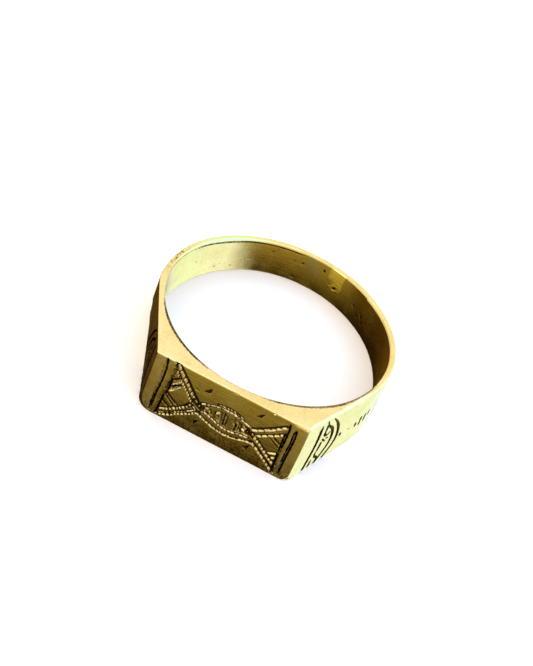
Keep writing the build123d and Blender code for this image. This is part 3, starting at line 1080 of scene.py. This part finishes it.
def gold(name, base, deep, roughness):
    """Worn gold: tone changes, fine scratches, small dents, dark patina in the cuts, and painted shade and
    highlight at the finger hole's edge.
    """
    material = bpy.data.materials.new(name)
    material.use_nodes = True
    n = GoldNodes(material.node_tree)
    shader = material.node_tree.nodes["Principled BSDF"]
    bright = n.patch("bright", 1.8, 0.3, 1.0)
    # the recess mark takes the patina colour: patina in the cuts and pits, painted shade along the finger
    # hole's upper edge
    patina_and_shade = n.ramp(n.broken(n.mark("recess"), n.grain, 0.7), 0.2, 0.8)
    dirt_and_shade = n.math("MAXIMUM", patina_and_shade, darkening(n))
    n.link(n.mix(dirt_and_shade, bare_tone(n, base, deep, bright), PATINA_AND_SHADE_TONE), shader.inputs["Base Color"])
    n.link(dullness(n, roughness, patina_and_shade, bright), shader.inputs["Roughness"])
    n.link(scuffs(n), shader.inputs["Normal"])
    shader.inputs["Specular Tint"].default_value = EDGE_TINT
    shader.inputs["Metallic"].default_value = 1.0
    return material


# -------- pieces

head_gold = gold("worn_gold_head", (0.82, 0.61, 0.24), (0.74, 0.53, 0.18), 0.22)
shank_gold = gold("worn_gold_shank", (0.82, 0.61, 0.21), (0.74, 0.53, 0.16), 0.22)
insert_gold = gold("filed_gold_insert", (0.82, 0.61, 0.22), (0.75, 0.53, 0.17), 0.2)
solder_gold = gold("dull_gold_solder", (0.80, 0.60, 0.23), (0.72, 0.51, 0.18), 0.25)
solder_grey = gold("grey_silver_solder", (0.80, 0.61, 0.25), (0.71, 0.52, 0.20), 0.24)

# Seams: angle in degrees, width at the finger hole and width at the outer face
RIGHT_SEAM = (INSERT_START, PLAIN_SEAM, PLAIN_SEAM)
LEFT_SEAM = (INSERT_END, VEE_INSIDE, VEE_OUTSIDE)
HEAD_RIGHT = (0, HEAD_SEAM, HEAD_SEAM)
HEAD_LEFT = (180, HEAD_SEAM, HEAD_SEAM)
SHANK_STEP = 0.075

head = build_head()
head.data.materials.append(head_gold)
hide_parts("head")
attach(head, "root")

for piece_name, node, material, slot, start, end in (
    ("shank_right_worn", "shank_right", shank_gold, "shank_gold", (*HEAD_RIGHT, 1), (*RIGHT_SEAM, -1)),
    ("insert_bright", "sizing_insert", insert_gold, "insert_gold", (*RIGHT_SEAM, 1), (*LEFT_SEAM, -1)),
    ("shank_left_worn", "shank_left", shank_gold, "shank_gold", (*LEFT_SEAM, 1), (*HEAD_LEFT, -1)),
    ("seam_head_right", "solder_head_right", solder_gold, "gold_solder",
     (*HEAD_RIGHT, -1), (*HEAD_RIGHT, 1)),
    ("seam_head_left", "solder_head_left", solder_gold, "gold_solder",
     (*HEAD_LEFT, -1), (*HEAD_LEFT, 1)),
    ("seam_insert_right", "solder_insert_right", solder_gold, "gold_solder",
     (*RIGHT_SEAM, -1), (*RIGHT_SEAM, 1)),
    ("seam_insert_left", "solder_insert_left", solder_grey, "grey_solder",
     (*LEFT_SEAM, -1), (*LEFT_SEAM, 1)),
):
    piece = build_arc(piece_name, start, end, SHANK_STEP)
    piece.data.materials.append(material)
    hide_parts(node)
    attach(piece, "root")


# -------- stage, light and camera

FLOOR_HALF = 1.5
FLOOR_GAP = 0.00001


def floor():
    """A pale floor, sloping with the ring's lower side faces and lying just under them."""
    mesh = bpy.data.meshes.new("floor")
    corners = [(x * FLOOR_HALF, y * FLOOR_HALF) for x, y in ((-1, -1), (1, -1), (1, 1), (-1, 1))]
    level = -half_width(0) * MM - FLOOR_GAP
    mesh.from_pydata([(x, y, level + SIDE_SLOPE * y) for x, y in corners], [], [(0, 1, 2, 3)])
    plane = bpy.data.objects.new("floor", mesh)
    bpy.context.collection.objects.link(plane)
    material = bpy.data.materials.new("pale_floor")
    material.use_nodes = True
    shader = material.node_tree.nodes["Principled BSDF"]
    shader.inputs["Base Color"].default_value = (1.0, 0.82, 0.60, 1)
    shader.inputs["Roughness"].default_value = 0.9
    mesh.materials.append(material)
    plane.visible_glossy = False


# Light from below the horizon: (lowest, highest) tones all round, in front and at the back left, and
# bright panels at the right and the back right
ROUND_LOW = ((0.012, 0.004, 0.001), (0.15, 0.10, 0.012))
FRONT_LOW = ((0.035, 0.018, 0.001), (0.60, 0.54, 0.17))
BACK_LEFT_LOW = ((0.01, 0.004, 0.001), (0.10, 0.06, 0.01))
RIGHT_PANEL = (1.28, 1.7, 2.7)
BACK_RIGHT_PANEL = (1.2, 1.84, 3.15)

# Light from above the horizon
BACK_SKY = (1.36, 1.46, 1.76)
FRONT_SKY = (1.42, 1.4, 1.5)
TOP_SKY = (1.35, 1.8, 2.5)
RIGHT_SKY = (1.32, 1.97, 3.6)
FRONT_LEFT_SKY = (1.5, 1.8, 2.6)


def surroundings():
    """A soft studio: bright above and at the right, a dim gold bounce in front, dark low elsewhere."""
    world = bpy.data.worlds.new("studio")
    bpy.context.scene.world = world
    world.use_nodes = True
    n = Nodes(world.node_tree)
    direction = n.node("ShaderNodeTexCoord").outputs["Generated"]
    x, y, z = n.split(direction)
    level = n.math("SQRT", n.plus(n.times(x, x), n.times(y, y)))
    level = n.math("MAXIMUM", level, 0.001)

    def sector(azimuth, inner, outer):
        """1 within an angle of an azimuth, falling to 0 at a wider angle."""
        c, s = cos(radians(azimuth)), sin(radians(azimuth))
        dot = n.math("DIVIDE", n.plus(n.times(x, c), n.times(y, s)), level)
        return n.ramp(dot, cos(radians(outer)), cos(radians(inner)))

    def rise(low, high):
        """0 below one elevation, rising to 1 at another."""
        return n.ramp(z, sin(radians(low)), sin(radians(high)))

    below = n.mix(rise(-50, -37), *ROUND_LOW)
    below = n.mix(sector(160, 8, 26), below, n.mix(rise(-50, -37), *BACK_LEFT_LOW))
    below = n.mix(sector(-78, 45, 72), below, n.mix(rise(-52, -31), *FRONT_LOW))
    below = n.mix(sector(34, 34, 59), below, BACK_RIGHT_PANEL)
    below = n.mix(sector(2, 14, 34), below, RIGHT_PANEL)
    above = n.mix(sector(-95, 30, 90), BACK_SKY, FRONT_SKY)
    above = n.mix(rise(42, 66), above, TOP_SKY)
    above = n.mix(sector(12, 42, 60), above, RIGHT_SKY)
    above = n.mix(sector(-150, 22, 42), above, FRONT_LEFT_SKY)
    colour = n.mix(rise(-20, 2), below, above)
    background = world.node_tree.nodes["Background"]
    n.link(colour, background.inputs["Color"])
    background.inputs["Strength"].default_value = 1.0


# Camera: rotation vector, place of the ring's centre before it in bore radii, and focal length
VIEW_TURN = (2.2521, 0.5819, 0.1586)
VIEW_SHIFT = (0.0372, 0.0429, 13.7814)
LENS_MM = 86.36


def camera():
    data = bpy.data.cameras.new("camera")
    data.lens = LENS_MM
    data.sensor_width = 36
    data.clip_start = 0.01
    data.clip_end = 10
    cam = bpy.data.objects.new("camera", data)
    bpy.context.collection.objects.link(cam)
    turn = Vector(VIEW_TURN)
    back = Matrix.Rotation(turn.length, 3, turn.normalized()).transposed()
    place = -(back @ (Vector(VIEW_SHIFT) * BORE * MM))
    cam.rotation_mode = "QUATERNION"
    cam.matrix_world = Matrix.Translation(place) @ (back @ Matrix.Diagonal((1, -1, -1))).to_4x4()
    bpy.context.scene.camera = cam


floor()
surroundings()
camera()
bpy.context.scene.view_settings.view_transform = "Standard"
